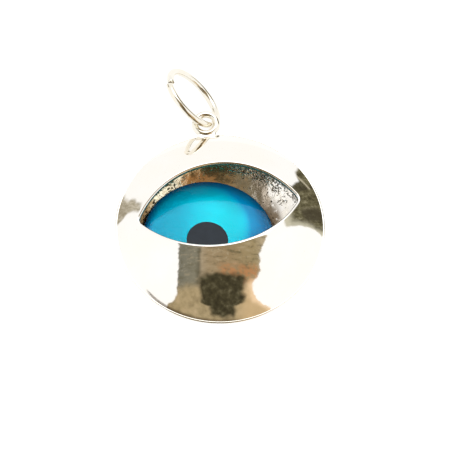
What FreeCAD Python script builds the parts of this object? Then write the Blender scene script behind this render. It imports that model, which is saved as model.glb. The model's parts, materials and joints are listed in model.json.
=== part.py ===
"""Evil eye pendant: a hollow lens-shaped disc with an almond window and a glass eye set inside.

Millimetres. +Z is the face normal, +Y points from the disc's centre to the hanging ring's side
and +X is to the wearer's left. The origin is the lowest point of the back dome, on the disc's axis.
"""
import FreeCAD, Part
import math
import os

# Driving dimensions of the hollow disc
disc_d = 21.8          # across the two domes, where they meet the seam
front_rise = 3.7       # crown of the front dome above the rim's middle plane
back_rise = 3.4        # belly of the back dome below the rim's middle plane
sheet = 0.4            # gold sheet of both shells
seam_h = 0.3           # height of the soldered seam between the shells
seam_proud = 0.2       # how far the seam stands out as a rounded bead

# Almond window in the front dome
eye_w = 16.8           # corner to corner
eye_h = 9.7            # lid to lid
eye_x = 0.12           # window's middle, off the disc's axis
eye_y = 1.6
corner_r = 0.8         # rounding of the two corners
lip_w = 0.3            # width of the rim of metal turned in round the window
lip_drop = 0.12        # how far that rim reaches below the sheet
lip_round = 0.33       # polished rounding of the window's edge

# Glass eye
glass_d = 14.0
glass_edge = 0.5       # height of the glass's straight edge
glass_crown = 0.35     # rise of the glass's dome above that edge
edge_round = 0.16      # fire-polished rounding of the glass's two edges
pupil_d = 4.4
pupil_depth = 0.55     # pocket that holds the black glass
pupil_x = -0.23        # pupil's middle, off the glass's middle
pupil_y = -0.19
foil = 0.12            # backing foil under the glass
set_off = 1.45         # the eye sits this far off the disc's axis, down in the bowl
set_bearing = 205.6    # direction of that offset, degrees from +X towards +Y

# Hanging rings
wire_d = 0.75          # round wire of the fixed bail ring
bail_od = 3.0
bail_bite = 0.237      # how far the bail ring's foot is let into the seam
bail_bearing = 87.94   # direction of the bail ring, degrees from +X towards +Y
solder_r = 0.95        # reach of the solder round the bail ring's foot
solder_h = 0.5
solder_round = 0.22    # rounding of the solder's two edges
link_wire_d = 0.75     # round wire of the jump ring
link_inner_d = 6.25    # inside diameter of the jump ring
link_lean = 52.9       # angle between the jump ring's own axis and +Z
link_heading = 19.0    # direction its axis leans to, degrees from +X towards +Y
thread_x = 0.14        # where its wire passes the bail: sideways from the bail's middle
thread_y = 0.06        # and in from the bail's middle towards the disc
cut_gap = 0.07         # butt joint of the jump ring
cut_at = 247.0         # place of that joint, degrees round the ring from the bail

# Clearances
set_gap = 0.05         # round the glass where it drops into the bowl
bond_gap = 0.01        # between bonded curved faces
pocket_gap = 0.01      # round the black pupil in its pocket
on_surface = 0.001     # nearer than this counts as lying on a surface
shortest_edge = 0.01   # edges shorter than this are not rounded

# Worked out from the sizes above
rim_r = disc_d / 2
rim_z = back_rise
axis_z = FreeCAD.Vector(0, 0, 1)
top_z = rim_z + front_rise


def vec(x, y, z=0.0):
    return FreeCAD.Vector(x, y, z)


def polar(radius, bearing, z=0.0):
    return vec(radius * math.cos(math.radians(bearing)), radius * math.sin(math.radians(bearing)), z)


def dome_radius(rise):
    """Radius of the sphere whose cap has the rim's radius and this rise."""
    return (rim_r ** 2 + rise ** 2) / (2 * rise)


def turned(edges):
    """Solid of revolution about Z of a closed profile drawn in the XZ plane."""
    return Part.Face(Part.Wire(edges)).revolve(vec(0, 0, 0), axis_z, 360)


def line(a, b):
    return Part.LineSegment(a, b).toShape()


def cap_arc(centre_z, radius, r_from, r_to, side):
    """Arc of a sphere's section from radius r_from to r_to, on its upper (+1) or lower (-1) side."""
    def on(r):
        return vec(r, 0, centre_z + side * math.sqrt(radius ** 2 - r ** 2))
    return Part.Arc(on(r_from), on((r_from + r_to) / 2), on(r_to)).toShape()


def dome_shell(base_z, rise, side, wall):
    """Cap of sheet metal with an open rim at base_z, bulging up (+1) or down (-1)."""
    radius = dome_radius(rise)
    centre_z = base_z + side * (rise - radius)
    inner = radius - wall
    inner_rim = math.sqrt(inner ** 2 - (centre_z - base_z) ** 2)
    return turned([
        cap_arc(centre_z, radius, 0, rim_r, side),
        line(vec(rim_r, 0, base_z), vec(inner_rim, 0, base_z)),
        cap_arc(centre_z, inner, inner_rim, 0, side),
        line(vec(0, 0, centre_z + side * inner), vec(0, 0, centre_z + side * radius)),
    ])


front_base = rim_z + seam_h / 2
back_base = rim_z - seam_h / 2
front_radius = dome_radius(top_z - front_base)
back_radius = dome_radius(back_base)
bowl_radius = back_radius - sheet


def almond(grow):
    """Window outline, grown outwards: two lids joined by two round corners."""
    half_w = eye_w / 2
    half_h = eye_h / 2
    lid_r = ((half_w - corner_r) ** 2 + half_h ** 2 - corner_r ** 2) / (2 * (half_h - corner_r))
    drop = lid_r - half_h
    corner_x = half_w - corner_r
    lid = lid_r + grow
    reach = lid / (lid_r - corner_r)
    join_x = corner_x * reach
    join_y = drop * reach - drop
    tip = corner_x + corner_r + grow

    def at(x, y):
        return vec(eye_x + x, eye_y + y, rim_z)
    return Part.Wire([
        Part.Arc(at(join_x, join_y), at(0, lid - drop), at(-join_x, join_y)).toShape(),
        Part.Arc(at(-join_x, join_y), at(-tip, 0), at(-join_x, -join_y)).toShape(),
        Part.Arc(at(-join_x, -join_y), at(0, drop - lid), at(join_x, -join_y)).toShape(),
        Part.Arc(at(join_x, -join_y), at(tip, 0), at(join_x, join_y)).toShape(),
    ])


def almond_prism(grow):
    return Part.Face(almond(grow)).extrude(vec(0, 0, front_rise + sheet))


def front_shell():
    """Front dome with the almond window; its edge is turned in and polished round."""
    rise = top_z - front_base
    shell = dome_shell(front_base, rise, 1, sheet)
    thick = dome_shell(front_base, rise, 1, sheet + lip_drop)
    body = shell.fuse(thick.common(almond_prism(lip_w))).cut(almond_prism(0)).removeSplitter()
    centre = vec(0, 0, top_z - front_radius)

    def on_dome_at_window(edge):
        return all(
            abs(edge.valueAt(t).distanceToPoint(centre) - front_radius) < on_surface
            and math.hypot(edge.valueAt(t).x, edge.valueAt(t).y) < rim_r - on_surface
            for t in (edge.FirstParameter, (edge.FirstParameter + edge.LastParameter) / 2)
        )
    window = [edge for edge in body.Edges if edge.Length > shortest_edge and on_dome_at_window(edge)]
    return body.makeFillet(lip_round, window)


def back_shell():
    return dome_shell(back_base, back_base, -1, sheet)


def seam_bead():
    """Rounded outside of the seam, drawn downwards."""
    return Part.Arc(vec(rim_r, 0, front_base), vec(rim_r + seam_proud, 0, rim_z),
                    vec(rim_r, 0, back_base)).toShape()


def rim_seam():
    """Soldered seam between the two rims, polished to a rounded line."""
    inner = rim_r - sheet
    return turned([
        line(vec(rim_r, 0, back_base), vec(inner, 0, back_base)),
        line(vec(inner, 0, back_base), vec(inner, 0, front_base)),
        line(vec(inner, 0, front_base), vec(rim_r, 0, front_base)),
        seam_bead(),
    ])


# The eye is drawn upright, centred in the bowl, and then swung down the bowl as one set
glass_r = glass_d / 2
pupil_r = pupil_d / 2
seat_z = back_radius - math.sqrt(bowl_radius ** 2 - (glass_r + set_gap) ** 2)
glass_z = seat_z + foil
crown_z = glass_z + glass_edge + glass_crown
crown_radius = (glass_r ** 2 + glass_crown ** 2) / (2 * glass_crown)
pocket_z = crown_z - pupil_depth


def at_pupil(shape):
    shape.translate(vec(pupil_x, pupil_y))
    return shape


def in_bowl(shape):
    """Swing a piece of the eye about the bowl's centre of curvature, so that it stays seated."""
    bowl_centre = vec(0, 0, back_radius)
    swing = math.degrees(math.asin(set_off / (back_radius - seat_z)))
    shape.rotate(bowl_centre, polar(1, set_bearing - 90), swing)
    return shape


def crowned_blank(radius, base_z):
    """Round blank from base_z up to the glass's domed top."""
    side_z = crown_z - crown_radius + math.sqrt(crown_radius ** 2 - radius ** 2)
    return turned([
        line(vec(0, 0, base_z), vec(radius, 0, base_z)),
        line(vec(radius, 0, base_z), vec(radius, 0, side_z)),
        cap_arc(crown_z - crown_radius, crown_radius, radius, 0, 1),
        line(vec(0, 0, crown_z), vec(0, 0, base_z)),
    ])


def eye_glass():
    """Aqua glass with a domed top and a round pocket for the black pupil."""
    blank = crowned_blank(glass_r, glass_z)
    blank = blank.makeFillet(edge_round, [edge for edge in blank.Edges if edge.Closed])
    pocket = Part.makeCylinder(pupil_r + pocket_gap, pupil_depth + glass_crown, vec(0, 0, pocket_z))
    return in_bowl(blank.cut(at_pupil(pocket)))


def pupil():
    return in_bowl(at_pupil(crowned_blank(pupil_r, pocket_z)))


def backing_foil():
    return in_bowl(Part.makeCylinder(glass_r, foil, vec(0, 0, seat_z)))


def setting_cement():
    """Bed that fills the bowl under the flat foil and glass."""
    radius = bowl_radius - bond_gap
    edge_r = math.sqrt(radius ** 2 - (back_radius - seat_z) ** 2)
    return in_bowl(turned([
        cap_arc(back_radius, radius, 0, edge_r, -1),
        line(vec(edge_r, 0, seat_z), vec(0, 0, seat_z)),
        line(vec(0, 0, seat_z), vec(0, 0, back_radius - radius)),
    ]))


# Hanging rings
wire_r = wire_d / 2
bail_r = bail_od / 2 - wire_r
seam_r = rim_r + seam_proud
bail_centre = polar(seam_r + bail_od / 2 - bail_bite, bail_bearing, rim_z)


def disc_envelope():
    """Filled outside of the finished disc, for seating what is soldered to its rim."""
    front_rim = math.sqrt(front_radius ** 2 - (front_base - top_z + front_radius) ** 2)
    return turned([
        cap_arc(top_z - front_radius, front_radius, 0, front_rim, 1),
        seam_bead(),
        cap_arc(back_radius, back_radius, rim_r, 0, -1),
        line(vec(0, 0, 0), vec(0, 0, top_z)),
    ])


def bail_torus():
    return Part.makeTorus(bail_r, wire_r, bail_centre, axis_z)


def bail_ring():
    return bail_torus().cut(disc_envelope())


def bail_solder():
    """Fillet of solder round the bail ring's foot, on the rim."""
    foot = polar(seam_r, bail_bearing, rim_z - solder_h / 2)
    drop = Part.makeCylinder(solder_r, solder_h, foot)
    drop = drop.makeFillet(solder_round, [edge for edge in drop.Edges if edge.Closed])
    hole = Part.makeCylinder(bail_r, solder_h, bail_centre - vec(0, 0, solder_h / 2))
    return drop.cut(hole).cut(bail_torus()).cut(disc_envelope())


def jump_ring():
    """Round-wire ring threaded through the bail, its lowest point on the surface under the disc."""
    link_wire_r = link_wire_d / 2
    link_r = link_inner_d / 2 + link_wire_r
    slope = math.sin(math.radians(link_lean))
    normal = polar(slope, link_heading, math.cos(math.radians(link_lean)))
    level = polar(1, link_heading + 90)
    steep = normal.cross(level)
    if steep.z < 0:
        steep = -steep
    thread = bail_centre + polar(thread_x, bail_bearing - 90) - polar(thread_y, bail_bearing)
    rise = (link_wire_r + link_r * slope - thread.z) / (link_r * slope)
    outwards = level * math.sqrt(1 - rise ** 2) + steep * rise
    centre = thread + outwards * link_r
    open_deg = math.degrees(cut_gap / link_r)
    start = thread - centre
    across = normal.cross(start.normalize())
    turn = math.radians(cut_at + open_deg / 2)
    arm = start * math.cos(turn) + across * math.sin(turn)
    along = normal.cross(arm)
    section = Part.Face(Part.Wire(Part.makeCircle(link_wire_r, centre + arm * link_r, along)))
    return section.revolve(centre, normal, 360 - open_deg)


pieces = {
    "front_shell": front_shell,
    "back_shell": back_shell,
    "rim_seam": rim_seam,
    "eye_glass": eye_glass,
    "pupil": pupil,
    "backing_foil": backing_foil,
    "setting_cement": setting_cement,
    "bail_ring": bail_ring,
    "bail_solder": bail_solder,
    "jump_ring": jump_ring,
}

os.makedirs("parts", exist_ok=True)
for name, make in pieces.items():
    shape = make()
    print(name, "valid", shape.isValid(), "solids", len(shape.Solids), "volume", round(shape.Volume, 3))
    shape.exportStep("parts/" + name + ".step")
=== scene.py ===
import json
import math

import bmesh
import bpy
from mathutils import Matrix, Vector


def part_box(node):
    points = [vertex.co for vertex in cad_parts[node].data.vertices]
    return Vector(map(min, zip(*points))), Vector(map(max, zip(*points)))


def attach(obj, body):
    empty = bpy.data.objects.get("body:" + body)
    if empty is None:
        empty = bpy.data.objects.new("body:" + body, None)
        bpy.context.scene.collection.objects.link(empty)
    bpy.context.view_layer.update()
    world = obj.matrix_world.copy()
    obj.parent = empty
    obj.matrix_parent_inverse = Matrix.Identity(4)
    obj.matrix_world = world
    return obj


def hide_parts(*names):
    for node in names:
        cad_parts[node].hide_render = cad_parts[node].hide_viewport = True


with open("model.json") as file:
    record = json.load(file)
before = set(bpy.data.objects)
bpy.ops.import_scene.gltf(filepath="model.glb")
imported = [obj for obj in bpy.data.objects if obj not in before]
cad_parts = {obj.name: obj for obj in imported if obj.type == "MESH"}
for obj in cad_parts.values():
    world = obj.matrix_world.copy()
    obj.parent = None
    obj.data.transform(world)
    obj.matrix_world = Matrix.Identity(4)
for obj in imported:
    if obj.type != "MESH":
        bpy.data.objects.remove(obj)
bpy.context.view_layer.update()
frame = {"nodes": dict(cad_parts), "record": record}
mm = 0.001


# small helpers for node trees

def place(tree, kind, **settings):
    node = tree.nodes.new(kind)
    for name, value in settings.items():
        setattr(node, name, value)
    return node


def feed(tree, socket, value):
    # a value is another node's socket, a Wire or a plain constant; a colour may leave out its alpha of 1
    if isinstance(value, Wire):
        value = value.socket
    if isinstance(value, bpy.types.NodeSocket):
        tree.links.new(value, socket)
    elif socket.type == "RGBA":
        socket.default_value = (*value[:3], 1)
    else:
        socket.default_value = value


class Wire:
    # a number travelling through Math nodes, so that a formula reads as a formula
    def __init__(self, tree, socket):
        self.tree = tree
        self.socket = socket

    def math(self, operation, *others, swap=False):
        node = place(self.tree, "ShaderNodeMath", operation=operation)
        values = (self.socket, *others)
        for socket, value in zip(node.inputs, reversed(values) if swap else values):
            feed(self.tree, socket, value)
        return Wire(self.tree, node.outputs[0])

    def __add__(self, other):
        return self.math("ADD", other)

    def __sub__(self, other):
        return self.math("SUBTRACT", other)

    def __rsub__(self, other):
        return self.math("SUBTRACT", other, swap=True)

    def __mul__(self, other):
        return self.math("MULTIPLY", other)

    def __truediv__(self, other):
        return self.math("DIVIDE", other)

    def __rtruediv__(self, other):
        return self.math("DIVIDE", other, swap=True)

    def squared(self):
        return self * self

    def root(self):
        return self.math("MAXIMUM", 0.0).math("SQRT")

    def mixed(self, other, share):
        return self + (other - self) * share

    def smooth(self, low, high, start=0.0, end=1.0, kind="SMOOTHSTEP"):
        node = place(self.tree, "ShaderNodeMapRange", interpolation_type=kind)
        names = ("Value", "From Min", "From Max", "To Min", "To Max")
        for name, value in zip(names, (self, low, high, start, end)):
            feed(self.tree, node.inputs[name], value)
        return Wire(self.tree, node.outputs[0])


def mixColor(tree, share, a, b, blend="MIX"):
    node = place(tree, "ShaderNodeMix", data_type="RGBA", blend_type=blend)
    sockets = {s.identifier: s for s in list(node.inputs) + list(node.outputs)}
    feed(tree, sockets["Factor_Float"], share)
    feed(tree, sockets["A_Color"], a)
    feed(tree, sockets["B_Color"], b)
    return sockets["Result_Color"]


def layered(tree, color, *layers):
    # lays colours over a first one in turn, each with its own share
    for share, layer in layers:
        color = mixColor(tree, share, color, layer)
    return color


def noise(tree, where, scale, detail=3.0, rough=0.5, output="Fac"):
    node = place(tree, "ShaderNodeTexNoise")
    feed(tree, node.inputs["Vector"], where)
    feed(tree, node.inputs["Scale"], scale)
    feed(tree, node.inputs["Detail"], detail)
    feed(tree, node.inputs["Roughness"], rough)
    return Wire(tree, node.outputs[output])


def onPiece(tree):
    # a point's place on its own piece
    return place(tree, "ShaderNodeTexCoord").outputs["Object"]


def split(tree, vector):
    node = place(tree, "ShaderNodeSeparateXYZ")
    feed(tree, node.inputs[0], vector)
    return [Wire(tree, output) for output in node.outputs]


def joined(tree, *numbers):
    node = place(tree, "ShaderNodeCombineXYZ")
    for socket, value in zip(node.inputs, numbers):
        feed(tree, socket, value)
    return node.outputs[0]


def mapped(tree, where, **settings):
    # moves, turns or stretches a pattern
    node = place(tree, "ShaderNodeMapping")
    feed(tree, node.inputs["Vector"], where)
    for name, value in settings.items():
        feed(tree, node.inputs[name.capitalize()], value)
    return node.outputs[0]


def vectorMath(tree, operation, *vectors, scale=None):
    node = place(tree, "ShaderNodeVectorMath", operation=operation)
    for socket, value in zip(node.inputs, vectors):
        feed(tree, socket, value)
    if scale is not None:
        feed(tree, node.inputs["Scale"], scale)
    return node.outputs["Value" if operation in ("DOT_PRODUCT", "LENGTH") else "Vector"]


def newGroup(name, kind, inputs, outputs):
    tree = bpy.data.node_groups.new(name, kind)
    addSocket = tree.interface.new_socket
    for socketName, socketType, default in inputs:
        socket = addSocket(socketName, in_out="INPUT", socket_type="NodeSocket" + socketType)
        if default is not None:
            socket.default_value = default
    for socketName, socketType in outputs:
        addSocket(socketName, in_out="OUTPUT", socket_type="NodeSocket" + socketType)
    source = place(tree, "NodeGroupInput")
    sizes = {s.name: Wire(tree, s) for s in source.outputs if s.name}
    return tree, sizes, place(tree, "NodeGroupOutput")


# camera

cameraLook = {"turn": -9.04, "rise": 64.55, "away": 2.0, "width": 0.04755, "right": 0.53 * mm,
              "up": 0.41 * mm, "nearest": 0.01}


def heading(turn, rise):
    # the direction seen at a turn and a rise, with its sideways and upward directions
    turn = math.radians(turn)
    rise = math.radians(rise)
    ahead = Vector((math.sin(turn) * math.cos(rise), -math.cos(turn) * math.cos(rise), math.sin(rise)))
    side = Vector((math.cos(turn), math.sin(turn), 0))
    return ahead, side, ahead.cross(side)


def makeCamera(look):
    back, right, up = heading(look["turn"], look["rise"])
    rimHeight = sum(corner.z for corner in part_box("rim_seam")) / 2
    data = bpy.data.cameras.new("camera")
    data.lens = data.sensor_width * look["away"] / look["width"]
    data.clip_start = look["nearest"]
    camera = bpy.data.objects.new("camera", data)
    bpy.context.scene.collection.objects.link(camera)
    camera.matrix_world = Matrix((right, up, back)).transposed().to_4x4()
    aim = Vector((0, 0, rimHeight)) + right * look["right"] + up * look["up"]
    camera.location = aim + back * look["away"]
    bpy.context.scene.camera = camera


makeCamera(cameraLook)
bpy.context.scene.view_settings.view_transform = "Standard"
print("camera placed")


# light tent: white cloth all round, a doorway into a dim room and two open gaps low at the sides;
# sides and heights are on a flat sheet one unit away, turns and rises are degrees

tent = {
    "white": 1.12,
    "rear": {"to": (0, 1, 0.1), "reach": (0.1, 0.75), "color": (0.95, 0.95, 0.95)},
    "soft light": {"to": (0.19, 0.485, 0.85), "reach": 28, "strength": 1.3},
    "doorway": {
        "turn": -9.0, "rise": 64.5, "top": 0.85, "soft": 0.012,
        "left edge": ((-0.50, -0.95), (-0.22, -0.72), (-0.08, -0.56), (0.20, -0.54), (0.60, -0.575),
                      (0.95, -0.60)),
        "right edge": ((-0.50, 0.95), (-0.27, 0.72), (-0.17, 0.52), (-0.06, 0.42), (0.06, 0.40), (0.18, 0.49),
                       (0.45, 0.53), (0.70, 0.66), (0.95, 0.80))},
    "room": ((-0.60, (0.19, 0.185, 0.145)), (-0.30, (0.24, 0.225, 0.165)), (-0.26, (0.16, 0.145, 0.10)),
             (-0.22, (0.40, 0.32, 0.21)), (-0.15, (0.37, 0.28, 0.165)), (0.10, (0.34, 0.25, 0.135)),
             (0.45, (0.37, 0.29, 0.155)), (0.62, (0.50, 0.41, 0.27))),
    "shelves": {"stretch": (3.0, 8.0, 1), "shade": (0.12, 0.105, 0.055), "light": (0.50, 0.41, 0.27)},
    "clutter": {"shade": (0.10, 0.09, 0.055), "light": (0.58, 0.50, 0.36)},
    "rust": {"sides": (0.0, 0.50), "heights": (0.06, 0.30), "share": 0.85, "color": (0.52, 0.24, 0.10)},
    "ground": {"top": (-0.04, 0.08), "lit": (0.68, 0.49, 0.27), "lit from": (0.10, 0.38), "lit share": 0.8,
               "tones": ((0.3, (0.26, 0.20, 0.11)), (0.5, (0.42, 0.33, 0.185)), (0.7, (0.56, 0.43, 0.26)))},
    "warm cloth": {"heights": (-0.34, 0.12), "reach": 0.15, "share": 0.9, "color": (1.0, 0.74, 0.48)},
    "block": {"sides": (-0.24, 0.295), "heights": (-0.33, 0.19), "soft": 0.035, "sagging": 0.5,
              "waist": {"heights": (-0.21, -0.15), "cut": 0.12},
              "tones": ((0.36, (0.038, 0.032, 0.017)), (0.52, (0.068, 0.058, 0.030)),
                        (0.64, (0.12, 0.105, 0.06)), (0.75, (0.22, 0.19, 0.12)))},
    "sill": {"sagging": 0.265, "top": (-0.372, -0.350), "sides": (-1.3, 0.2), "share": 0.8,
             "color": (0.12, 0.085, 0.045)},
    "rail": {"heights": (-0.40, -0.366), "sides": (-1.15, -0.40), "share": 0.85, "color": (0.13, 0.09, 0.05)},
    "left gap": {
        "rises": (-5, 26), "left edge": ((-10, -146), (10, -143), (26, -140)),
        "right edge": ((-10, -124), (15, -127), (20, -134), (26, -137)),
        "color": (0.36, 0.32, 0.235), "pale": (0.74, 0.69, 0.58), "pale share": 0.8},
    "right gap": {
        "rises": (-8, 43),
        "left edge": ((-10, 99), (16, 102), (20, 104), (26, 107), (32, 109), (43, 110)),
        "right edge": ((-10, 142), (3, 140), (9, 137), (12, 135), (43, 134)),
        "tones": ((0.38, (0.045, 0.038, 0.020)), (0.46, (0.10, 0.088, 0.048)), (0.53, (0.17, 0.155, 0.088)),
                  (0.61, (0.34, 0.31, 0.21))),
        "panel": {"turns": (111, 119), "rises": (12, 27)},
        "post": {"turns": (129.4, 134.6), "rises": (10, 22), "share": 0.8},
        "shut share": 0.8, "shut color": (0.065, 0.055, 0.035),
        "creeping light": {"reach": (0, 6), "near edge": 0.7, "rises": (32, 40), "top": 0.8,
                           "color": (0.74, 0.71, 0.56)},
        "strip": {"turns": (129, 141), "rises": (7.9, 9.3), "share": 0.8, "color": (0.60, 0.55, 0.42)}},
}


def curve(tree, value, points):
    # a value read off a drawn curve through a few points
    xs, ys = zip(*points)
    low, high = min(ys), max(ys)
    node = place(tree, "ShaderNodeFloatCurve")
    line = node.mapping.curves[0]
    line.points[0].location = (0, (ys[0] - low) / (high - low))
    line.points[1].location = (1, (ys[-1] - low) / (high - low))
    for x, y in points[1:-1]:
        line.points.new((x - xs[0]) / (xs[-1] - xs[0]), (y - low) / (high - low))
    node.mapping.update()
    feed(tree, node.inputs["Value"], value.smooth(xs[0], xs[-1], kind="LINEAR"))
    return Wire(tree, node.outputs[0]) * (high - low) + low


def colorBand(tree, value, stops):
    # colours laid along a value
    low, high = stops[0][0], stops[-1][0]
    node = place(tree, "ShaderNodeValToRGB")
    band = node.color_ramp
    band.elements[0].color = (*stops[0][1], 1)
    band.elements[1].color = (*stops[-1][1], 1)
    for at, color in stops[1:-1]:
        band.elements.new((at - low) / (high - low)).color = (*color, 1)
    feed(tree, node.inputs[0], value.smooth(low, high, kind="LINEAR"))
    return node.outputs[0]


def between(value, bounds, soft):
    low, high = bounds
    return value.smooth(low - soft, low + soft) * value.smooth(high - soft, high + soft, 1, 0)


def makeTent(spec):
    world = bpy.data.worlds.new("light tent")
    bpy.context.scene.world = world
    world.use_nodes = True
    tree = world.node_tree
    tree.nodes.clear()
    look = place(tree, "ShaderNodeTexCoord").outputs["Generated"]
    x, y, z = split(tree, look)
    turn = x.math("ARCTAN2", y * -1) * math.degrees(1)
    rise = z.math("ARCSINE") * math.degrees(1)

    def along(axis):
        return Wire(tree, vectorMath(tree, "DOT_PRODUCT", look, axis))

    def wobble(scale, detail, spread, where=look):
        return (noise(tree, where, scale, detail) - 0.5) * spread

    # inside the doorway: across and height are measured on a flat sheet one unit away
    door = spec["doorway"]
    ahead, side, over = heading(door["turn"], door["rise"])
    leastDepth = 0.05
    depth = along(ahead).math("MAXIMUM", leastDepth)
    facing = along(ahead).smooth(0.08, 0.12)
    across = along(side) / depth
    height = along(over) / depth
    flat = joined(tree, across, height)
    soft, top = door["soft"], door["top"]
    ragged = across + wobble(scale=14, detail=6, spread=0.09, where=flat)
    rightEdge = curve(tree, height, door["right edge"])
    raggedTop = height + wobble(scale=6, detail=3, spread=0.1)
    inside = (between(ragged, (curve(tree, height, door["left edge"]), rightEdge), soft)
              * raggedTop.smooth(top - soft, top + soft, 1, 0) * facing)

    # the room itself, its shelves and clutter, and the ground in front of them
    planks = mapped(tree, flat, scale=spec["shelves"]["stretch"])
    shelves = noise(tree, planks, scale=1.5, detail=5, rough=0.66)
    clutter = noise(tree, flat, scale=17, detail=5, rough=0.7)
    rust = (between(ragged, spec["rust"]["sides"], soft=0.08)
            * between(height, spec["rust"]["heights"], soft=0.06) * clutter.smooth(0.62, 0.42))
    ground = spec["ground"]
    floor = colorBand(tree, noise(tree, flat, scale=9, detail=6, rough=0.6), ground["tones"])
    floor = mixColor(tree, across.smooth(*ground["lit from"]) * ground["lit share"], floor, ground["lit"])
    groundEdge = height + wobble(scale=5, detail=3, spread=0.16)
    walls = across + wobble(scale=6, detail=4, spread=0.08, where=flat)
    room = layered(
        tree, colorBand(tree, walls, spec["room"]),
        (shelves.smooth(0.50, 0.66) * across.smooth(-0.35, 0.15, 0.45, 0.85), spec["shelves"]["shade"]),
        (shelves.smooth(0.47, 0.36) * 0.45, spec["shelves"]["light"]),
        (clutter.smooth(0.55, 0.68) * 0.55, spec["clutter"]["shade"]),
        (clutter.smooth(0.43, 0.32) * 0.5, spec["clutter"]["light"]),
        (rust * spec["rust"]["share"], spec["rust"]["color"]),
        (groundEdge.smooth(*ground["top"], 1, 0), floor))

    # the cloth beside the doorway glows warm where light falls through it
    warm = spec["warm cloth"]
    fromEdge = rightEdge - ragged + wobble(scale=8, detail=4, spread=0.10, where=flat)
    beside = fromEdge.smooth(0.0, warm["reach"], 1, 0) * between(height, warm["heights"], soft=0.08)

    # a dark block stands in the middle, narrower at its foot
    block = spec["block"]
    waist = block["waist"]
    waist = (height + wobble(scale=9, detail=4, spread=0.05)).smooth(*waist["heights"], waist["cut"], 0.0)
    bent = wobble(scale=6, detail=6, spread=0.16, where=flat)
    left, right = block["sides"]
    solid = (between(across + bent, (waist + left, right - waist), block["soft"])
             * between(height + bent + across.squared() * block["sagging"], block["heights"], block["soft"]))
    dim = colorBand(tree, noise(tree, flat, scale=13, detail=5, rough=0.6), block["tones"])

    # the dark sill runs along the lower edge of the opening, and a rail carries on past its left side
    low = height - across.squared() * spec["sill"]["sagging"]
    sill = low.smooth(*spec["sill"]["top"], 1, 0) * between(across, spec["sill"]["sides"], soft=0.1)
    rail = spec["rail"]
    railShare = between(low, rail["heights"], soft=0.008) * between(across, rail["sides"], soft=0.06) * facing
    room = layered(tree, room, (beside * warm["share"], warm["color"]), (solid, dim),
                   (sill * spec["sill"]["share"], spec["sill"]["color"]))

    def gap(zone, ragged, soft):
        edges = [curve(tree, rise, zone[edge]) for edge in ("left edge", "right edge")]
        return between(turn + ragged, edges, soft) * between(rise + ragged, zone["rises"], soft=1.0)

    # what shows through the side gaps, with folds and grain that run up and down
    folds = noise(tree, joined(tree, turn * 0.34, rise * 0.06), scale=1.0, detail=5, rough=0.62)
    grain = noise(tree, joined(tree, turn * 0.9, rise * 0.45), scale=1.0, detail=4, rough=0.7)
    weave = folds * 0.5 + grain * 0.5
    leftGap, rightGap = spec["left gap"], spec["right gap"]
    pale = mixColor(tree, weave.smooth(0.42, 0.64) * leftGap["pale share"], leftGap["color"], leftGap["pale"])
    panel, post, strip = rightGap["panel"], rightGap["post"], rightGap["strip"]
    panelTurn = turn + wobble(scale=9, detail=4, spread=3)
    panelRise = rise + wobble(scale=9, detail=4, spread=4)
    posted = between(turn, post["turns"], soft=0.4) * between(rise, post["rises"], soft=0.6) * post["share"]
    shut = between(panelTurn, panel["turns"], soft=1.5) * between(panelRise, panel["rises"], soft=2)
    shut = shut.math("MAXIMUM", posted)
    # light creeps in at the gap's near edge and over its top
    light = rightGap["creeping light"]
    stir = wobble(scale=9, detail=4, spread=5)
    past = turn + stir - curve(tree, rise, rightGap["left edge"])
    creep = past.smooth(*light["reach"], light["near edge"], 0).math(
        "MAXIMUM", (rise + stir).smooth(*light["rises"], 0, light["top"]))
    stripRise = rise + wobble(scale=9, detail=3, spread=1.5)
    bar = between(stripRise, strip["rises"], soft=0.4) * between(turn, strip["turns"], soft=0.5)
    dark = layered(tree, colorBand(tree, weave, rightGap["tones"]),
                   (shut * rightGap["shut share"], rightGap["shut color"]), (creep, light["color"]),
                   (bar * strip["share"], strip["color"]))

    # the white cloth, with a soft light behind it and a little less light at the rear
    light, rear = spec["soft light"], spec["rear"]
    glow = along(Vector(light["to"]).normalized()).smooth(
        math.cos(math.radians(light["reach"])), 1, 0, light["strength"])
    behind = along(Vector(rear["to"]).normalized()).smooth(*rear["reach"])
    white = mixColor(tree, behind, (1, 1, 1), rear["color"])
    cloth = vectorMath(tree, "SCALE", white, scale=glow + spec["white"])

    # the openings only show in mirrored rays; the cloth lights everything else
    path = place(tree, "ShaderNodeLightPath")
    direct = 1.0 - Wire(tree, path.outputs["Is Transmission Ray"])
    mirrored = Wire(tree, path.outputs["Is Glossy Ray"]) * direct
    shade = layered(tree, cloth,
                    (gap(leftGap, wobble(scale=9, detail=5, spread=7), soft=1.6) * mirrored, pale),
                    (gap(rightGap, wobble(scale=7, detail=5, spread=6), soft=0.8) * mirrored, dark),
                    (inside * mirrored, room),
                    (railShare * mirrored * rail["share"], rail["color"]))

    # a camera only ever sees plain white behind the object
    seen = mixColor(tree, path.outputs["Is Camera Ray"], shade, (1, 1, 1))
    background = place(tree, "ShaderNodeBackground")
    feed(tree, background.inputs["Color"], seen)
    tree.links.new(background.outputs[0], place(tree, "ShaderNodeOutputWorld").inputs["Surface"])


makeTent(tent)

surface = {"size": 1.2, "cloth": 0.22, "glow": 0.86, "plain": 0.86}


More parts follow.
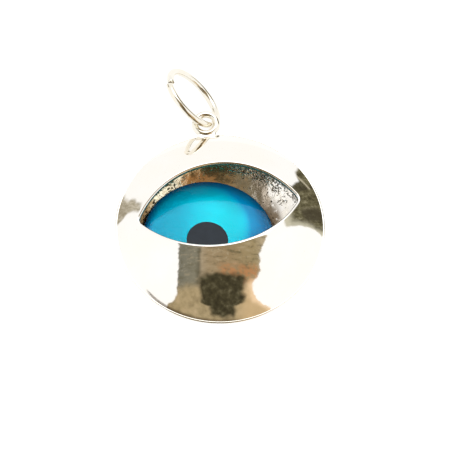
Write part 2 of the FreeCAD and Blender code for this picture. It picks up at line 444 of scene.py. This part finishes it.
def makeSurface(spec):
    # the camera, mirrored and refracted rays see a pale glowing cloth; other rays see plain white cloth
    mesh = bpy.data.meshes.new("surface")
    half = spec["size"] / 2
    corners = [(-half, -half, 0), (half, -half, 0), (half, half, 0), (-half, half, 0)]
    mesh.from_pydata(corners, [], [(0, 1, 2, 3)])
    floor = bpy.data.objects.new("surface", mesh)
    bpy.context.scene.collection.objects.link(floor)
    material = bpy.data.materials.new("white surface")
    material.use_nodes = True
    tree = material.node_tree
    tree.nodes.clear()
    cloth = place(tree, "ShaderNodeBsdfDiffuse")
    feed(tree, cloth.inputs["Color"], (spec["cloth"],) * 3)
    plain = place(tree, "ShaderNodeBsdfDiffuse")
    feed(tree, plain.inputs["Color"], (spec["plain"],) * 3)
    glow = place(tree, "ShaderNodeEmission")
    glow.inputs["Strength"].default_value = spec["glow"]
    both = place(tree, "ShaderNodeAddShader")
    tree.links.new(cloth.outputs[0], both.inputs[0])
    tree.links.new(glow.outputs[0], both.inputs[1])
    path = place(tree, "ShaderNodeLightPath")
    direct = (Wire(tree, path.outputs["Is Camera Ray"]).math("MAXIMUM", path.outputs["Is Glossy Ray"])
              .math("MAXIMUM", path.outputs["Is Transmission Ray"]))
    choice = place(tree, "ShaderNodeMixShader")
    feed(tree, choice.inputs[0], direct)
    tree.links.new(plain.outputs[0], choice.inputs[1])
    tree.links.new(both.outputs[0], choice.inputs[2])
    tree.links.new(choice.outputs[0], place(tree, "ShaderNodeOutputMaterial").inputs["Surface"])
    mesh.materials.append(material)


makeSurface(surface)
print("light tent and surface ready")


# finishes

def goldToneGroup():
    # slow drift of the alloy's colour and faint tarnish specks
    tree, size, result = newGroup("goldTone", "ShaderNodeTree", [
        ("Color", "Color", (0.95, 0.88, 0.72, 1)), ("Drift", "Float", 0.5), ("Patch Scale", "Float", 180),
        ("Speck Scale", "Float", 2600), ("Specks", "Float", 0.3)], [("Color", "Color"), ("Dull", "Float")])
    warmth = (1.0, 0.955, 0.86)
    tarnish = (0.42, 0.33, 0.20)
    where = onPiece(tree)
    patch = noise(tree, where, size["Patch Scale"], detail=4, rough=0.6).smooth(0.35, 0.65)
    warm = mixColor(tree, 1.0, size["Color"], warmth, "MULTIPLY")
    speck = noise(tree, where, size["Speck Scale"], detail=5, rough=0.7).smooth(0.66, 0.74) * size["Specks"]
    tone = layered(tree, size["Color"], (patch * size["Drift"], warm), (speck, tarnish))
    feed(tree, result.inputs["Color"], tone)
    feed(tree, result.inputs["Dull"], speck + patch * 0.15)
    return tree


def polishMarksGroup():
    # hairlines left by the buff in three directions, and the slight unevenness of buffed sheet
    tree, size, result = newGroup("polishMarks", "ShaderNodeTree", [
        ("Hairlines", "Float", 0.4), ("Hairline Scale", "Float", 900), ("Waviness", "Float", 0.5),
        ("Wave Scale", "Float", 160)], [("Height", "Float"), ("Worn", "Float")])
    where = onPiece(tree)
    stretch = (0.035, 1.0, 0.2)
    hairlineDepth = 0.02
    lines = []
    for angle, shift in ((0.35, 0.0), (1.75, 0.31), (2.7, 0.77)):
        drawn = mapped(tree, where, location=(shift, shift, 0), rotation=(0, 0, angle), scale=stretch)
        lines.append(noise(tree, drawn, size["Hairline Scale"] * 4, detail=2, rough=0.6).smooth(0.60, 0.72))
    worn = lines[0].math("MAXIMUM", lines[1]).math("MAXIMUM", lines[2])
    worn = worn * noise(tree, where, size["Wave Scale"] * 2, detail=2).smooth(0.45, 0.65)
    wave = noise(tree, where, size["Wave Scale"], detail=2, rough=0.4)
    feed(tree, result.inputs["Height"], wave * size["Waviness"] - worn * size["Hairlines"] * hairlineDepth)
    feed(tree, result.inputs["Worn"], worn * size["Hairlines"])
    return tree


def castSkinGroup():
    # skin of a casting: flattened grains with crooked seams between them and small pits
    tree, size, result = newGroup("castSkin", "ShaderNodeTree", [
        ("Grain Scale", "Float", 2400), ("Warp", "Float", 0.0007), ("Seam Width", "Float", 0.12),
        ("Seam Cover", "Float", 0.5), ("Pit Scale", "Float", 2800), ("Pit Cover", "Float", 0.4)],
        [("Height", "Float"), ("Seam", "Float"), ("Pit", "Float")])
    where = onPiece(tree)

    def covered(field, cover):
        # lets through the share of the field that the cover asks for
        highest, spread, soft = 0.72, 0.44, 0.04
        limit = highest - cover * spread
        return field.smooth(limit - soft, limit + soft)

    stir = noise(tree, where, size["Grain Scale"] * 0.6, detail=3, rough=0.6, output="Color")
    centred = vectorMath(tree, "SUBTRACT", stir, (0.5, 0.5, 0.5))
    moved = vectorMath(tree, "ADD", where, vectorMath(tree, "SCALE", centred, scale=size["Warp"]))
    cells = place(tree, "ShaderNodeTexVoronoi", feature="DISTANCE_TO_EDGE")
    feed(tree, cells.inputs["Vector"], moved)
    feed(tree, cells.inputs["Scale"], size["Grain Scale"])
    apart = Wire(tree, cells.outputs["Distance"])
    seam = apart.smooth(0.0, size["Seam Width"], 1, 0)
    patches = noise(tree, where, size["Grain Scale"] * 0.8, detail=3, rough=0.6)
    seam = seam * covered(patches, size["Seam Cover"])
    dots = place(tree, "ShaderNodeTexVoronoi", feature="F1")
    feed(tree, dots.inputs["Vector"], moved)
    feed(tree, dots.inputs["Scale"], size["Pit Scale"])
    pit = Wire(tree, dots.outputs["Distance"]).smooth(0.30, 0.40, 1, 0)
    pit = pit * covered(noise(tree, where, size["Pit Scale"] * 0.4, detail=3), size["Pit Cover"])
    grain = noise(tree, moved, size["Grain Scale"] * 1.2, detail=3, rough=0.6)
    feed(tree, result.inputs["Height"], apart.smooth(0, 0.35) * 0.5 + grain * 0.5 - seam * 0.6 - pit)
    feed(tree, result.inputs["Seam"], seam)
    feed(tree, result.inputs["Pit"], pit)
    return tree


goldTone = goldToneGroup()
polishMarks = polishMarksGroup()
castSkin = castSkinGroup()


def newMaterial(name):
    material = bpy.data.materials.new(name)
    material.use_nodes = True
    tree = material.node_tree
    return material, tree, tree.nodes["Principled BSDF"]


def useGroup(tree, group, values):
    node = place(tree, "ShaderNodeGroup", node_tree=group)
    for name, value in values.items():
        feed(tree, node.inputs[name], value)
    return {s.name: Wire(tree, s) for s in node.outputs}


def bump(tree, shader, height, distance):
    node = place(tree, "ShaderNodeBump")
    node.inputs["Strength"].default_value = 1
    node.inputs["Distance"].default_value = distance
    feed(tree, node.inputs["Height"], height)
    feed(tree, shader.inputs["Normal"], node.outputs[0])


goldLooks = {
    "polished gold": {
        "color": (0.95, 0.925, 0.885), "roughness": 0.035, "unevenness": 0.000012,
        "tone": {"Drift": 0.3, "Specks": 0.35},
        "marks": {"Hairlines": 0.5, "Waviness": 0.6, "Wave Scale": 260}},
    "ring gold": {
        "color": (0.885, 0.85, 0.765), "roughness": 0.045, "unevenness": 0.000008,
        "tone": {"Drift": 0.5, "Patch Scale": 500, "Specks": 0.3},
        "marks": {"Hairlines": 0.4, "Waviness": 0.5, "Wave Scale": 900}},
    "solder": {
        "color": (0.98, 0.965, 0.92), "roughness": 0.08, "unevenness": 0.00001,
        "tone": {"Drift": 0.5, "Patch Scale": 600, "Specks": 0.5},
        "marks": {"Hairlines": 0.3, "Waviness": 0.8, "Wave Scale": 900}},
}


def polishedGold(name):
    look = goldLooks[name]
    dulling = 0.10
    material, tree, shader = newMaterial(name)
    alloy = useGroup(tree, goldTone, {"Color": look["color"], **look["tone"]})
    buff = useGroup(tree, polishMarks, look["marks"])
    shader.inputs["Metallic"].default_value = 1
    feed(tree, shader.inputs["Base Color"], alloy["Color"])
    dull = alloy["Dull"] * dulling + buff["Worn"] * dulling
    feed(tree, shader.inputs["Roughness"], dull + look["roughness"])
    bump(tree, shader, buff["Height"], look["unevenness"])
    return material


domeGold = polishedGold("polished gold")
wireGold = polishedGold("ring gold")
seamGold = polishedGold("solder")

castLook = {
    # colour across the bowl: the dark brown at the far left is painted shade in the corner beside the glass;
    # it is browner through the middle and dimmer just right of it
    "flush and painted shade": ((-9, (0.14, 0.09, 0.05)), (-7.4, (0.24, 0.16, 0.08)), (-6.8, (0.46, 0.34, 0.19)),
              (-6.2, (1.0, 0.95, 0.74)), (-3.7, (1.0, 0.94, 0.72)), (-2.7, (0.88, 0.68, 0.44)),
              (-1.5, (0.80, 0.61, 0.39)), (1.5, (0.74, 0.63, 0.47)), (4.3, (0.78, 0.70, 0.60)),
              (4.9, (0.54, 0.46, 0.38)), (5.4, (0.56, 0.49, 0.41)), (5.9, (0.95, 0.91, 0.85)),
              (9, (0.97, 0.95, 0.91))),
    "tone": {"Drift": 0.6, "Patch Scale": 700, "Specks": 0.8},
    "skin": {"Grain Scale": 2300, "Warp": 0.0012, "Seam Width": 0.15, "Pit Scale": 2900},
    "seams": {"left": 0.16, "corner": 0.42, "all over": 0.12},
    "pits": {"left": 0.50, "corner": 0.06, "all over": 0.26},
    "bumps": {"left": 0.10, "corner": 0.40, "all over": 0.22},
    "left part": (-4.6, -2.2),
    "corner": {"reach": (7.1, 7.8), "x": (1.2, 3.2), "y": (1.6, 3.0), "thicker": (3.4, 5.2, 0.85, 1.25)},
    "roughness": 0.14, "relief": 0.00003,
    "grime": {"share": 0.92, "color": (0.055, 0.040, 0.020), "dulls": 0.3},
    "blotch": {"share": 0.45, "color": (0.40, 0.26, 0.11), "x": (-3.6, -1.8)},
    "stain": {"color": (0.22, 0.165, 0.11), "y": (1.6, 3.6), "from x": (4.0, 5.2), "to x": (6.3, 7.1),
              "dulls": 0.2},
}


def castGoldMaterial(look):
    # as it left the mould: pitted at the left, smooth in the middle and crackled at the far right
    material, tree, shader = newMaterial("cast gold")
    where = onPiece(tree)
    x, y = [axis / mm for axis in split(tree, where)[:2]]
    drift = (noise(tree, where, scale=500, detail=3) - 0.5) * 2.4
    across = x + drift
    reach = (x.squared() + y.squared()).root() + drift * 0.5

    # how far a point lies in the left part, in the far right corner and in the stain by the glass
    spots = look["corner"]
    left = across.smooth(*look["left part"], 1, 0)
    corner = (reach.smooth(*spots["reach"]) * across.smooth(*spots["x"]) * y.smooth(*spots["y"])
              * y.smooth(*spots["thicker"]))
    spots = look["stain"]
    stain = (y + drift).smooth(*spots["y"], 1, 0) * x.smooth(*spots["from x"])
    stain = stain * x.smooth(*spots["to x"], 1, 0.2)
    stain = stain * noise(tree, where, scale=1500, detail=4, rough=0.65).smooth(0.32, 0.46)

    def spread(shares):
        return left * shares["left"] + corner * shares["corner"] + shares["all over"]

    # the dark far-left end of this colour band is painted shade
    alloy = useGroup(tree, goldTone, {"Color": colorBand(tree, across, look["flush and painted shade"]), **look["tone"]})
    skin = useGroup(tree, castSkin, {
        **look["skin"], "Seam Cover": spread(look["seams"]), "Pit Cover": spread(look["pits"])})
    grime = skin["Seam"].math("MAXIMUM", skin["Pit"]) * look["grime"]["share"]
    blotch = noise(tree, where, scale=3000, detail=5, rough=0.7).smooth(0.46, 0.60)
    blotch = blotch * across.smooth(*look["blotch"]["x"], 1, 0) * look["blotch"]["share"]
    tone = layered(tree, alloy["Color"], (blotch, look["blotch"]["color"]), (stain, look["stain"]["color"]),
                   (grime, look["grime"]["color"]))
    shader.inputs["Metallic"].default_value = 1
    feed(tree, shader.inputs["Base Color"], tone)
    dull = alloy["Dull"] * 0.15 + grime * look["grime"]["dulls"] + stain * look["stain"]["dulls"]
    feed(tree, shader.inputs["Roughness"], dull + look["roughness"])
    bump(tree, shader, skin["Height"] * spread(look["bumps"]), look["relief"])
    return material


castGold = castGoldMaterial(castLook)

# the sheet's dark colour is partly painted shade for the faces under the dome and along the lip's wall
rawLook = {
    "skin": {"Grain Scale": 1800}, "seams": {"share": 0.5, "color": (0.07, 0.05, 0.03)},
    "tone": {"Color": (0.36, 0.285, 0.17), "Drift": 1, "Patch Scale": 500, "Specks": 0.6},
    "roughness": 0.5, "relief": 0.00001}


def rawSheetMaterial(look):
    # underside of the dome and the inner face of the lip, never polished and darkened by the torch; its dark
    # tone is also painted shade under the dome and along the lip's wall
    material, tree, shader = newMaterial("raw sheet and painted shade")
    skin = useGroup(tree, castSkin, look["skin"])
    alloy = useGroup(tree, goldTone, look["tone"])
    tone = mixColor(tree, skin["Seam"] * look["seams"]["share"], alloy["Color"], look["seams"]["color"])
    shader.inputs["Metallic"].default_value = 1
    feed(tree, shader.inputs["Base Color"], tone)
    feed(tree, shader.inputs["Roughness"], alloy["Dull"] * 0.2 + look["roughness"])
    bump(tree, shader, skin["Height"], look["relief"])
    return material


shadedRawSheet = rawSheetMaterial(rawLook)

aquaLook = {
    "index": 1.27, "clear": 0.55, "roughness": 0.02, "unevenness": 0.000003,
    "zone middle": (-2.10, 0.90),
    # the zones paint a paler reflection in the middle and painted shade towards the border
    "zones with painted reflection": ((0.0, (0.001, 0.86, 1.0)), (3.3, (0.001, 0.84, 1.0)), (4.7, (0.001, 0.80, 1.0)),
              (5.1, (0.001, 0.70, 1.0)), (5.5, (0.0, 0.44, 0.82)), (6.9, (0.0, 0.31, 0.64))),
    # a painted pool of light up and right of the pupil, with painted shade away from it
    "paintedLightPool": {"middle": (1.4, 1.6), "reach": (1.0, 6.0), "share": 0.75, "shade": (1, 0.74, 0.9)},
    # the rim colour is painted shade along the glass's edge
    "rim": {"middle": (-1.24, -0.59), "reach": (6.0, 6.95), "color": (0.002, 0.16, 0.33)},
}


def aquaGlassMaterial(look):
    # milky sky-blue glass; its paler middle is a painted reflection, a painted pool of light sits up and
    # right of the pupil, and its deeper blue border and darker rim are painted shade
    material, tree, shader = newMaterial("aqua glass")
    where = onPiece(tree)

    def distanceFrom(middle):
        x, y = middle
        centred = mapped(tree, where, location=(-x, -y, 0), scale=(1 / mm, 1 / mm, 0))
        return Wire(tree, vectorMath(tree, "LENGTH", centred))

    paintedLightPool, rim = look["paintedLightPool"], look["rim"]
    swirl = (noise(tree, where, scale=300, detail=3) - 0.5) * 0.5
    # painted reflection: paler inside the zone middle, with painted shade deepening outwards
    tintWithPaintedLight = colorBand(tree, distanceFrom(look["zone middle"]) + swirl, look["zones with painted reflection"])
    # painted light: the glass stays bright near the pool and takes painted shade away from it
    shadeAwayFromPool = distanceFrom(paintedLightPool["middle"]).smooth(*paintedLightPool["reach"]) * paintedLightPool["share"]
    tintWithPaintedLight = mixColor(tree, shadeAwayFromPool, tintWithPaintedLight, paintedLightPool["shade"], "MULTIPLY")
    # painted shade darkens the glass along its rim
    paintedRimShade = (distanceFrom(rim["middle"]) + swirl * 0.6).smooth(*rim["reach"])
    shader.inputs["Transmission Weight"].default_value = look["clear"]
    shader.inputs["IOR"].default_value = look["index"]
    shader.inputs["Roughness"].default_value = look["roughness"]
    feed(tree, shader.inputs["Base Color"], mixColor(tree, paintedRimShade, tintWithPaintedLight, rim["color"]))
    bump(tree, shader, noise(tree, where, scale=420, detail=2), look["unevenness"])
    return material


plainLooks = {
    "black glass": {
        "tones": ((0.005, 0.012, 0.021), (0.009, 0.017, 0.028)), "clouds": (0.35, 0.7),
        "cloud": (700, 4, 0.5), "relief": (500, 2, 0.5), "depth": 0.000003,
        "settings": {"Roughness": 0.04, "IOR": 1.3}},
    "backing foil": {
        "tones": ((0.95, 0.97, 0.99), (0.90, 0.94, 0.97)), "clouds": (0.3, 0.7), "cloud": (400, 3, 0.5),
        "relief": (400, 3, 0.5), "depth": 0.000004, "settings": {"Metallic": 1, "Roughness": 0.2}},
    "setting cement": {
        "tones": ((0.62, 0.57, 0.45), (0.80, 0.77, 0.68)), "clouds": (0.4, 0.65), "cloud": (3000, 5, 0.7),
        "relief": (3000, 5, 0.7), "depth": 0.00003, "settings": {"Roughness": 0.8}},
}


def cloudedMaterial(name):
    # two close tones in clouds and a fine relief; a cloud or relief is a scale, a detail and a roughness
    look = plainLooks[name]
    material, tree, shader = newMaterial(name)
    where = onPiece(tree)
    clouds = noise(tree, where, *look["cloud"]).smooth(*look["clouds"])
    feed(tree, shader.inputs["Base Color"], mixColor(tree, clouds, *look["tones"]))
    for setting, value in look["settings"].items():
        shader.inputs[setting].default_value = value
    bump(tree, shader, noise(tree, where, *look["relief"]), look["depth"])
    return material


finishes = {
    "front_shell": domeGold, "back_shell": castGold, "rim_seam": seamGold, "bail_ring": wireGold,
    "bail_solder": seamGold, "jump_ring": wireGold, "eye_glass": aquaGlassMaterial(aquaLook),
    "pupil": cloudedMaterial("black glass"), "backing_foil": cloudedMaterial("backing foil"),
    "setting_cement": cloudedMaterial("setting cement")}
for name, finish in finishes.items():
    for slot in frame["nodes"][name].material_slots:
        slot.material = finish
print("finishes ready")


# pieces grown by Geometry Nodes

def grow(name, tree, values, body, node):
    # runs the tree once, keeps the result as a plain mesh and turns its faces outwards
    piece = bpy.data.objects.new(name, bpy.data.meshes.new(name))
    bpy.context.scene.collection.objects.link(piece)
    modifier = piece.modifiers.new("grow", "NODES")
    modifier.node_group = tree
    sockets = {item.name: item.identifier for item in tree.interface.items_tree if item.in_out == "INPUT"}
    for label, value in values.items():
        modifier[sockets[label]] = value
    bpy.context.view_layer.update()
    mesh = bpy.data.meshes.new_from_object(piece.evaluated_get(bpy.context.evaluated_depsgraph_get()))
    piece.modifiers.clear()
    piece.data = mesh
    shape = bmesh.new()
    shape.from_mesh(mesh)
    bmesh.ops.recalc_face_normals(shape, faces=shape.faces)
    loose = sum(not edge.is_manifold for edge in shape.edges)
    shape.to_mesh(mesh)
    shape.free()
    print(name, len(mesh.polygons), "faces,", loose, "open edges")
    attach(piece, body)
    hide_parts(node)
    return piece


def startGrid(tree, columns, rows):
    # a flat sheet; gives the turn (0 to 2 pi) along its columns and the number of each row
    grid = place(tree, "GeometryNodeMeshGrid")
    grid.inputs["Size X"].default_value = 1
    grid.inputs["Size Y"].default_value = 1
    feed(tree, grid.inputs["Vertices X"], columns)
    feed(tree, grid.inputs["Vertices Y"], rows)
    x, y = split(tree, place(tree, "GeometryNodeInputPosition").outputs[0])[:2]
    return grid.outputs["Mesh"], (x + 0.5) * math.tau, (y + 0.5) * (rows - 1)


def markRows(tree, mesh, row, low, high):
    # marks the faces of the flat sheet between two rows
    mark = place(tree, "GeometryNodeStoreNamedAttribute", data_type="BOOLEAN", domain="FACE")
    mark.inputs["Name"].default_value = "marked"
    feed(tree, mark.inputs["Geometry"], mesh)
    feed(tree, mark.inputs["Value"], row.math("GREATER_THAN", low) * row.math("LESS_THAN", high))
    return mark.outputs[0]


sheetFinish = {"join within": 1e-7, "crease": 0.6}


def finishGrid(tree, result, mesh, position, material, second=None):
    # lays the sheet over the computed surface and joins its edges
    move = place(tree, "GeometryNodeSetPosition")
    feed(tree, move.inputs["Geometry"], mesh)
    feed(tree, move.inputs["Position"], position)
    join = place(tree, "GeometryNodeMergeByDistance")
    feed(tree, join.inputs["Geometry"], move.outputs[0])
    join.inputs["Distance"].default_value = sheetFinish["join within"]
    # smooth shading with sharp edges where the surface turns quickly, then the finish
    soft = place(tree, "GeometryNodeSetShadeSmooth", domain="FACE")
    feed(tree, soft.inputs[0], join.outputs[0])
    angle = Wire(tree, place(tree, "GeometryNodeInputMeshEdgeAngle").outputs["Unsigned Angle"])
    edges = place(tree, "GeometryNodeSetShadeSmooth", domain="EDGE")
    feed(tree, edges.inputs[0], soft.outputs[0])
    feed(tree, edges.inputs["Shade Smooth"], angle.math("LESS_THAN", sheetFinish["crease"]))
    real = place(tree, "GeometryNodeRealizeInstances")
    feed(tree, real.inputs[0], edges.outputs[0])
    paint = place(tree, "GeometryNodeSetMaterial")
    feed(tree, paint.inputs["Geometry"], real.outputs[0])
    feed(tree, paint.inputs["Material"], material)
    if second:
        # faces marked on the flat sheet take the second finish
        marked = place(tree, "GeometryNodeInputNamedAttribute", data_type="BOOLEAN")
        marked.inputs["Name"].default_value = "marked"
        wipe = place(tree, "GeometryNodeRemoveAttribute")
        wipe.inputs["Name"].default_value = "marked"
        other = place(tree, "GeometryNodeSetMaterial")
        feed(tree, other.inputs["Geometry"], paint.outputs[0])
        feed(tree, other.inputs["Selection"], marked.outputs["Attribute"])
        feed(tree, other.inputs["Material"], second)
        feed(tree, wipe.inputs["Geometry"], other.outputs[0])
        paint = wipe
    feed(tree, result.inputs[0], paint.outputs[0])


def stage(row, start, count):
    # 0 before the stage, 1 after it
    return row.smooth(start, start + count, kind="LINEAR")


def lengths(*names):
    return [(name, "Float", 0.001) for name in names]


domeSizes = {"disc": 21.8, "crown height": 7.1, "rim height": 3.55, "sheet": 0.4, "window width": 16.8,
             "window height": 9.7, "corner": 0.8, "window x": 0.12, "window y": 1.6, "lip width": 0.3,
             "lip drop": 0.12, "lip round": 0.33, "columns": 420}


def windowedDome():
    # one closed skin: dome from rim to window, polished roll, turned-in lip, underside back to the rim
    tree, size, result = newGroup("windowedDome", "GeometryNodeTree", lengths(
        "Rim Radius", "Dome Radius", "Dome Centre", "Rim Height", "Sheet", "Half Width", "Half Height",
        "Corner", "Window X", "Window Y", "Lip Width", "Lip Drop", "Lip Round")
        + [("Columns", "Int", 360), ("Material", "Material", None), ("Wall Material", "Material", None)],
        [("Geometry", "Geometry")])
    # rows of the sheet from the rim to the window and back
    counts = {"travel": 30, "curl": 10, "drop": 2, "tuck": 2, "climb": 2, "return": 14, "land": 1}
    mesh, turn, row = startGrid(tree, size["Columns"], sum(counts.values()) + 1)
    part = {}
    start = 0
    for name, count in counts.items():
        part[name] = stage(row, start, count)
        start += count

    # the window's edge and its outward direction at this turn; the turns crowd together at the corners
    crowding = 0.45
    phi = turn - (turn * 2).math("SINE") * crowding
    c = phi.math("COSINE")
    s = phi.math("SINE")
    corner = size["Corner"]
    cornerX = size["Half Width"] - corner
    halfHeight = size["Half Height"]
    lid = (cornerX.squared() + halfHeight.squared() - corner.squared()) / ((halfHeight - corner) * 2)
    sag = lid - halfHeight
    flatC = c.math("ABSOLUTE")
    flatS = s.math("ABSOLUTE")
    onLid = (flatS * (cornerX * lid)).math("GREATER_THAN", flatC * (sag * corner))
    lidReach = (lid.squared() - (sag * flatC).squared()).root() - sag * flatS
    cornerReach = cornerX * flatC + (corner.squared() - (cornerX * flatS).squared()).root()
    reach = cornerReach.mixed(lidReach, onLid)
    arc = corner.mixed(lid, onLid)
    edge = (reach * c, reach * s)
    middle = (cornerX * c.math("SIGN") * (1.0 - onLid), sag * s.math("SIGN") * onLid * -1)
    outward = [(edge[i] - middle[i]) / arc for i in (0, 1)]

    # the rim's point in the same direction
    inside = size["Dome Radius"] - size["Sheet"]
    innerRim = (inside.squared() - (size["Rim Height"] - size["Dome Centre"]).squared()).root()
    within = part["return"].math("GREATER_THAN", 0.0) * (1.0 - part["land"])
    rim = size["Rim Radius"].mixed(innerRim, within)
    centre = (size["Window X"], size["Window Y"])
    lean = centre[0] * c + centre[1] * s
    span = (lean.squared() + rim.squared() - centre[0].squared() - centre[1].squared()).root() - lean

    curl = part["curl"] * (math.pi / 2)
    offset = size["Lip Round"] * (1.0 - curl.math("SINE")) + size["Lip Width"] * part["tuck"]
    far = (1.0 - part["travel"]).math("MAXIMUM", part["return"])
    x, y = [centre[i] + (edge[i] + outward[i] * offset).mixed(span * (c, s)[i], far) for i in (0, 1)]
    wall = size["Sheet"] + size["Lip Drop"] - size["Lip Round"]
    depth = (size["Lip Round"] * (1.0 - curl.math("COSINE")) + wall * part["drop"]
             - size["Lip Drop"] * part["climb"] - size["Sheet"] * part["land"])
    z = size["Dome Centre"] + ((size["Dome Radius"] - depth).squared() - x.squared() - y.squared()).root()
    # the wall's dark finish, partly painted shade, starts two rows before the curl ends
    curlEnd = counts["travel"] + counts["curl"]
    mesh = markRows(tree, mesh, row, curlEnd - 2, curlEnd + counts["drop"] + counts["tuck"])
    finishGrid(tree, result, mesh, joined(tree, x, y, z), size["Material"], size["Wall Material"])
    return tree


def capRadius(half, rise):
    # the sphere's radius of a cap with this half width and rise
    return (half ** 2 + rise ** 2) / (2 * rise)


def inMetres(lengths):
    return {name: length * mm for name, length in lengths.items()}


def makeDome(sizes):
    rim = sizes["disc"] / 2
    radius = capRadius(rim, sizes["crown height"] - sizes["rim height"])
    values = inMetres({
        "Rim Radius": rim, "Dome Radius": radius, "Dome Centre": sizes["crown height"] - radius,
        "Rim Height": sizes["rim height"], "Sheet": sizes["sheet"], "Half Width": sizes["window width"] / 2,
        "Half Height": sizes["window height"] / 2, "Corner": sizes["corner"], "Window X": sizes["window x"],
        "Window Y": sizes["window y"], "Lip Width": sizes["lip width"], "Lip Drop": sizes["lip drop"],
        "Lip Round": sizes["lip round"]})
    values.update({"Columns": sizes["columns"], "Material": domeGold, "Wall Material": shadedRawSheet})
    return grow("goldDome", windowedDome(), values, "pendant", "front_shell")


makeDome(domeSizes)

bowlSizes = {"disc": 21.8, "rim height": 3.25, "sheet": 0.4, "relief": 0.035, "lump": 1.1, "columns": 300}
bowlRows = {"outer": 26, "inner": 64}


def castBowl(rows):
    # back shell: polished and plain outside, lumpy inside as it left the mould
    tree, size, result = newGroup("castBowl", "GeometryNodeTree", lengths(
        "Rim Radius", "Bowl Radius", "Rim Height", "Sheet", "Relief", "Lump Size")
        + [("Columns", "Int", 300), ("Material", "Material", None), ("Outside Material", "Material", None)],
        [("Geometry", "Geometry")])
    outer, inner = rows["outer"], rows["inner"]
    mesh, turn, row = startGrid(tree, size["Columns"], outer + inner + 2)
    out = stage(row, 0, outer)
    land = stage(row, outer, 1)
    home = stage(row, outer + 1, inner)
    inside = size["Bowl Radius"] - size["Sheet"]
    innerRim = (inside.squared() - (size["Bowl Radius"] - size["Rim Height"]).squared()).root()
    reach = size["Rim Radius"] * out * (1.0 - land) + innerRim * land * (1.0 - home)
    x = reach * turn.math("COSINE")
    y = reach * turn.math("SINE")
    lumps = noise(tree, joined(tree, x, y), 1.0 / size["Lump Size"], detail=3, rough=0.6).smooth(0.3, 0.7)
    fadeIn = 0.08
    cut = size["Relief"] * lumps * home.smooth(0, fadeIn)
    radius = size["Bowl Radius"] - size["Sheet"] * land + cut
    z = size["Bowl Radius"] - (radius.squared() - reach.squared()).root()
    mesh = markRows(tree, mesh, row, -1, outer)
    finishGrid(tree, result, mesh, joined(tree, x, y, z), size["Material"], size["Outside Material"])
    return tree


def makeBowl(sizes):
    rim = sizes["disc"] / 2
    values = inMetres({
        "Rim Radius": rim, "Bowl Radius": capRadius(rim, sizes["rim height"]),
        "Rim Height": sizes["rim height"], "Sheet": sizes["sheet"], "Relief": sizes["relief"],
        "Lump Size": sizes["lump"]})
    values.update({"Columns": sizes["columns"], "Material": castGold, "Outside Material": domeGold})
    return grow("castBowl", castBowl(bowlRows), values, "pendant", "back_shell")


makeBowl(bowlSizes)
print("shells ready")

linkSizes = {"thread": (0.5821, 12.290, 3.4), "radius": 3.5, "wire": 0.75, "cut at": 247, "gap": 0.07,
             "spring": 0.24, "rounding": 0.05, "around": 40, "along": 300}


def wireRing():
    # round wire bent to a ring, its two softly rounded ends a little out of line at the cut
    tree, size, result = newGroup("wireRing", "GeometryNodeTree", lengths(
        "Ring Radius", "Wire Radius", "Rounding", "Spring")
        + [("Gap", "Float", 0.02), ("Centre", "Vector", None), ("Cut Arm", "Vector", None),
           ("Normal", "Vector", None), ("Around", "Int", 40), ("Along", "Int", 300),
           ("Material", "Material", None)], [("Geometry", "Geometry")])
    last = size["Along"] - 1
    mesh, turn, row = startGrid(tree, size["Around"], size["Along"])
    end = row.math("MINIMUM", last - row)
    way = ((row - 1) / (last - 2)).math("MAXIMUM", 0.0).math("MINIMUM", 1.0)
    thick = ((size["Wire Radius"] - size["Rounding"]) * end.smooth(0, 1, kind="LINEAR")
             + size["Rounding"] * end.smooth(1, 2, kind="LINEAR"))
    angle = size["Gap"] * 0.5 + way * (math.tau - size["Gap"])
    reach = size["Ring Radius"] + thick * turn.math("COSINE")
    lift = thick * turn.math("SINE") + size["Spring"] * (way - 0.5)
    across = vectorMath(tree, "CROSS_PRODUCT", size["Normal"], size["Cut Arm"])
    position = size["Centre"]
    for direction, amount in ((size["Cut Arm"], reach * angle.math("COSINE")),
                              (across, reach * angle.math("SINE")), (size["Normal"], lift)):
        position = vectorMath(tree, "ADD", position, vectorMath(tree, "SCALE", direction, scale=amount))
    finishGrid(tree, result, mesh, position, size["Material"])
    return tree


def makeLink(sizes):
    loop = next(mount for mount in frame["record"]["mounts"] if mount["name"] == "chain_loop")
    normal = Vector(loop["axis"]).normalized()
    start = Vector([value * mm for value in sizes["thread"]]) - Vector(loop["pos_m"])
    start = (start - normal * start.dot(normal)).normalized()
    arm = Matrix.Rotation(math.radians(sizes["cut at"]), 3, normal) @ start
    values = inMetres({
        "Ring Radius": sizes["radius"], "Wire Radius": sizes["wire"] / 2, "Rounding": sizes["rounding"],
        "Spring": sizes["spring"]})
    values.update({
        "Gap": sizes["gap"] / sizes["radius"], "Centre": tuple(loop["pos_m"]), "Cut Arm": tuple(arm),
        "Normal": tuple(normal), "Around": sizes["around"], "Along": sizes["along"], "Material": wireGold})
    return grow("jumpLink", wireRing(), values, "jump_ring", "jump_ring")


makeLink(linkSizes)
print("link ready")
